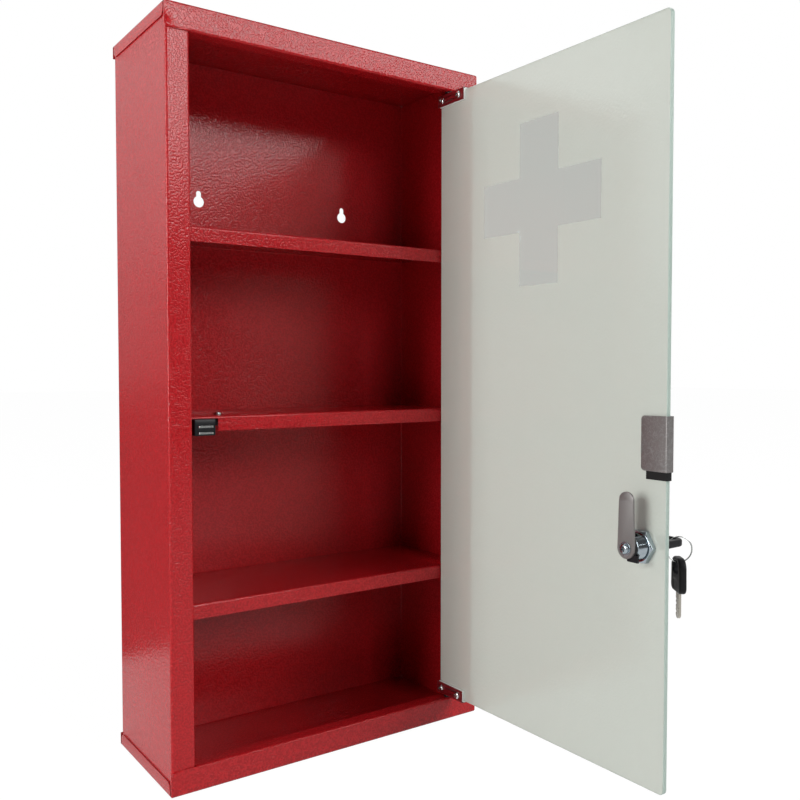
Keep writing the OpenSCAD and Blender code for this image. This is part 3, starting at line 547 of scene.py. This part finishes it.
def cut_blade(name, place, body, node):
    """Blade as sections along its length: a flat bar with eased corners and a groove in each
    side, whose right edge follows four flat-bottomed cuts, each a clipped ramp of the distance
    from its middle, and whose tip narrows on a straight slope."""
    y = np.linspace(-BLADE_ROOT, BLADE_L, 190)[:, None]
    from_cut = np.abs(y - FIRST_CUT - CUT_SPACING * np.arange(CUT_DEPTHS.size)[None, :])
    bites = CUT_DEPTHS * np.clip((CUT_HALF_MOUTH - from_cut) / CUT_SLOPE, 0.0, 1.0)
    tip = TIP_HALF + TIP_SLOPE * np.clip(BLADE_L - y, 0.0, TIP_L)
    right = np.minimum(BLADE_HALF - bites.max(1, keepdims=True), tip)
    left = -np.minimum(BLADE_HALF, tip)
    near_groove, far_groove = (np.clip(side * GROOVE_X, left, right) for side in (1, -1))
    x = np.concatenate([right, right, right - BLADE_EASE, near_groove, left + BLADE_EASE,
                        left, left, left + BLADE_EASE, far_groove, right - BLADE_EASE], 1)
    side, floor = BLADE_T / 2, BLADE_T / 2 - GROOVE_DEPTH
    corner = side - BLADE_EASE
    z = np.array([-corner, corner, side, side, floor, floor, side, side])
    z = np.concatenate([z, -z])[None, :]
    points = np.stack([x, y + 0 * x, z + 0 * x], -1)
    new_piece(name, place(points), KEY_NICKEL, body, node,
              ring=False, sharp=30.0)


# ---- glass and softened pieces -------------------------------------------------------------

GLASS_LOW, GLASS_HIGH = (23.0, 23.5), (280.0, 576.5)   # across and up, door closed
GLASS_CORNER, GLASS_BEVEL = 4.0, 0.45
GLASS_HOLE_R, GLASS_HOLE_BEVEL = 9.6, 0.3
PAST_GLASS = 600.0


def from_lock(r, turn):
    """Points across and up at radius r and angle turn round the lock's axis."""
    return np.stack([LOCK_X + r * np.cos(turn), LOCK_Z + r * np.sin(turn)], -1)


def pane_edge(turn, inset):
    """Where rays from the lock's axis leave the pane's outline drawn in by inset."""
    low, high = np.add(GLASS_LOW, inset), np.subtract(GLASS_HIGH, inset)

    def outline(x, z):
        return box_distance(x, z, low, high, GLASS_CORNER - inset)

    return from_lock(reach_to(outline, (LOCK_X, LOCK_Z), turn, PAST_GLASS), turn)


def pane_turns():
    """Angles round the lock's axis: even ones for the hole, and those of points along the round
    corners, which lie in from their corner by its radius times one less the cosine and sine."""
    turns = [np.linspace(-np.pi, np.pi, 120, endpoint=False)]
    lean = quarter_turn(10)
    from_side, from_end = (GLASS_CORNER * (1 - way(lean)) for way in (np.cos, np.sin))
    for x, to_right in ((GLASS_LOW[0], 1), (GLASS_HIGH[0], -1)):
        for z, upwards in ((GLASS_LOW[1], 1), (GLASS_HIGH[1], -1)):
            rise, run = z + upwards * from_end - LOCK_Z, x + to_right * from_side - LOCK_X
            turns.append(np.arctan2(rise, run))
    return np.unique(np.concatenate(turns).round(5))


def ground_pane():
    """Glass pane as a ring of closed sections from the lock's hole to the outline, with small
    bevels ground along both."""
    turn = pane_turns()
    edge, edge_in = pane_edge(turn, 0.0), pane_edge(turn, GLASS_BEVEL)
    hole, hole_out = from_lock(GLASS_HOLE_R, turn), from_lock(GLASS_HOLE_R + GLASS_HOLE_BEVEL, turn)
    outer, inner = GLASS_Y
    rings = [(hole, outer + GLASS_HOLE_BEVEL), (hole_out, outer), (edge_in, outer),
             (edge, outer + GLASS_BEVEL), (edge, inner - GLASS_BEVEL), (edge_in, inner),
             (hole_out, inner), (hole, inner - GLASS_HOLE_BEVEL)]
    points = np.stack([np.insert(ring, 1, y, axis=-1) for ring, y in rings])
    new_piece("ground_pane", from_door(points), GLASS, "door", "door_glass",
              sharp=30.0)


def softened(node, width, material, body):
    """A CAD node's own surface with its seams merged and its sharp edges rounded by width."""
    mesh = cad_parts[node].data.copy()
    shape = bmesh.new()
    shape.from_mesh(mesh)
    bmesh.ops.remove_doubles(shape, verts=shape.verts, dist=1e-6)
    shape.to_mesh(mesh)
    shape.free()
    piece = bpy.data.objects.new(node + "_softened", mesh)
    bpy.context.scene.collection.objects.link(piece)
    mesh.materials.clear()
    mesh.materials.append(material)
    mesh.shade_smooth()
    mesh.set_sharp_from_angle(angle=math.radians(SHARP_ANGLE))
    bevel = piece.modifiers.new("edges", "BEVEL")
    bevel.width, bevel.segments = width / MM_PER_METRE, 2
    bevel.limit_method, bevel.angle_limit = "ANGLE", math.radians(SHARP_ANGLE)
    bevel.harden_normals = True
    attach(piece, body)
    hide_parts(node)


threaded_barrel()
hexagon_nut()
split_ring()
moulded_bow("lock_key_bow", in_lock, "key", "key_bow")
moulded_bow("ring_key_bow", on_ring, "spare_key", "spare_key_bow")
cut_blade("lock_key_blade", in_lock, "key", "key_blade")
cut_blade("ring_key_blade", on_ring, "spare_key", "spare_key_blade")
ground_pane()
softened("lock_cam", 0.3, SATIN, "lock_core")
softened("cam_washer", 0.15, LOCK_ZINC, "lock_core")
softened("strike_clip", 0.12, SCUFFED, "door")
for clamp in ("upper_hinge_clamp", "lower_hinge_clamp"):
    softened(clamp, 0.2, CLAMP_RED, "door")
softened("catch_housing", 0.25, BLACK_PLASTIC, "cabinet")
softened("catch_pole_plates", 0.2, ZINC, "cabinet")
for folded in ("upper_shelf", "middle_shelf", "lower_shelf", "top_cap", "bottom_cap"):
    softened(folded, 0.45, RED, "cabinet")

# ---- stage, in metres ----------------------------------------------------------------------

AMBIENT, ROOM_IN_FRONT, MIRRORED_WHITE = 0.05, 0.10, 0.8  # strengths, where 1 is white
WHITE = (1.0, 1.0, 1.0, 1.0)


def studio_world():
    """White to the camera and through glass. Mirrors see white behind the cabinet and a darker
    room in front of it, and everything else gets a faint white light."""
    world = bpy.data.worlds.new("studio")
    bpy.context.scene.world = world
    world.use_nodes = True
    f = NodeTree(world.node_tree)
    path = f.node("ShaderNodeLightPath")
    direction = f.node("ShaderNodeTexCoord").outputs["Generated"]
    towards = f.node("ShaderNodeSeparateXYZ", {0: direction})
    # Both are shares that rise over a band of directions, so that no edge shows in a mirror.
    behind = f.between(towards.outputs["Y"], 0.0, 1.0, -0.25, 0.15)
    raised = f.between(towards.outputs["Z"], 0.3, 1.0, 0.0, 0.35)
    mirrored = f.mix(f.times(behind, raised), ROOM_IN_FRONT, MIRRORED_WHITE)
    seen = f.maths("MAXIMUM", path.outputs["Is Camera Ray"], path.outputs["Is Transmission Ray"])
    strength = f.mix(seen, f.mix(path.outputs["Is Glossy Ray"], AMBIENT, mirrored), 1.0)
    light = world.node_tree.nodes["Background"]
    light.inputs["Color"].default_value = WHITE
    world.node_tree.links.new(strength, light.inputs["Strength"])


FLOOR_REACH, FLOOR_GAP = 12.0, 0.0002     # half its side, and how far it lies under the base
FLOOR_GLOW, FLOOR_STRENGTH = 0.95, 1.04   # share that glows to the camera, and its strength
TABLE_FRONT, TABLE_BACK = -1.7, 0.23      # mirrors see the floor white between these


def studio_floor():
    """A pale floor that glows white to the camera, all but a small share that takes the faint
    shadow. Mirrors see it white as far as the table reaches, and dark as the room beyond."""
    z = float(from_cabinet([0.0, 0.0, 0.0])[2]) - FLOOR_GAP
    s = FLOOR_REACH
    corners = [(-s, -s, z), (s, -s, z), (s, s, z), (-s, s, z)]
    mesh = bpy.data.meshes.new("floor")
    mesh.from_pydata(corners, [], [(0, 1, 2, 3)])
    floor = bpy.data.objects.new("floor", mesh)
    bpy.context.scene.collection.objects.link(floor)
    f = Finish("floor_white", (0.88, 0.88, 0.88), 0.9, specular=0.0)
    path = f.node("ShaderNodeLightPath")
    glossy, through = path.outputs["Is Glossy Ray"], path.outputs["Is Transmission Ray"]
    seen = f.maths("MAXIMUM", path.outputs["Is Camera Ray"], through)
    seen = f.times(f.maths("MAXIMUM", seen, glossy), FLOOR_GLOW)
    back = f.node("ShaderNodeSeparateXYZ", {0: f.where}).outputs["Y"]
    off_table = f.plus(f.maths("GREATER_THAN", back, TABLE_BACK),
                       f.maths("LESS_THAN", back, TABLE_FRONT))
    mirrored = f.maths("GREATER_THAN", glossy, through)
    strength = f.mix(f.times(off_table, mirrored),
                     f.mix(mirrored, FLOOR_STRENGTH, MIRRORED_WHITE), ROOM_IN_FRONT)
    glow = f.node("ShaderNodeEmission", {"Color": WHITE, "Strength": strength})
    inputs = {0: seen, 1: f.shader.outputs[0], 2: glow.outputs[0]}
    surface = f.node("ShaderNodeMixShader", inputs).outputs[0]
    f.tree.links.new(surface, f.tree.nodes["Material Output"].inputs["Surface"])
    mesh.materials.append(f.material)


LAMP_TARGET = Vector((0.0, -0.1, -0.18))


def softbox(name, azimuth, elevation, distance, width, height, power):
    """An area lamp that faces the target from an azimuth (0 in front, positive to the right)."""
    a, e = math.radians(azimuth), math.radians(elevation)
    away = Vector((math.sin(a) * math.cos(e), -math.cos(a) * math.cos(e), math.sin(e)))
    lamp = bpy.data.lights.new(name, "AREA")
    lamp.shape = "RECTANGLE"
    lamp.size, lamp.size_y, lamp.energy = width, height, power
    light = bpy.data.objects.new(name, lamp)
    light.location = LAMP_TARGET + distance * away
    light.rotation_euler = (-away).to_track_quat("-Z", "Y").to_euler()
    bpy.context.scene.collection.objects.link(light)


CAMERA_PLACE = (-239.9, -640.8, 327.9)    # drawing millimetres
CAMERA_ROUND, CAMERA_DOWN = 35.24, 2.08   # degrees from a square, level view
FOCAL_PIXELS, PICTURE_PIXELS = 885.9, 800.0
SENSOR_MM = 36.0


def studio_camera():
    """View from the left front, turned round from square and a little down from level."""
    camera = bpy.data.cameras.new("camera")
    camera.sensor_width = SENSOR_MM
    camera.lens = SENSOR_MM * FOCAL_PIXELS / PICTURE_PIXELS
    shot = bpy.data.objects.new("camera", camera)
    shot.location = from_cabinet(CAMERA_PLACE)
    shot.rotation_euler = (math.radians(90.0 - CAMERA_DOWN), 0.0, math.radians(-CAMERA_ROUND))
    bpy.context.scene.collection.objects.link(shot)
    bpy.context.scene.camera = shot


studio_world()
studio_floor()
# Lamps: azimuth and elevation in degrees; distance, width and height in metres; watts.
softbox("key_softbox", 30.0, 25.5, 4.0, 2.4, 1.5, 72.0)
softbox("front_softbox", 9.0, 22.0, 3.0, 0.8, 0.9, 14.0)
softbox("top_softbox", 20.0, 48.0, 3.0, 1.4, 0.8, 8.0)
softbox("left_softbox", -87.0, 11.0, 3.0, 1.5, 1.5, 69.0)
softbox("back_softbox", -140.0, 18.0, 3.0, 1.5, 1.0, 4.5)
studio_camera()
bpy.context.scene.view_settings.view_transform = "Standard"
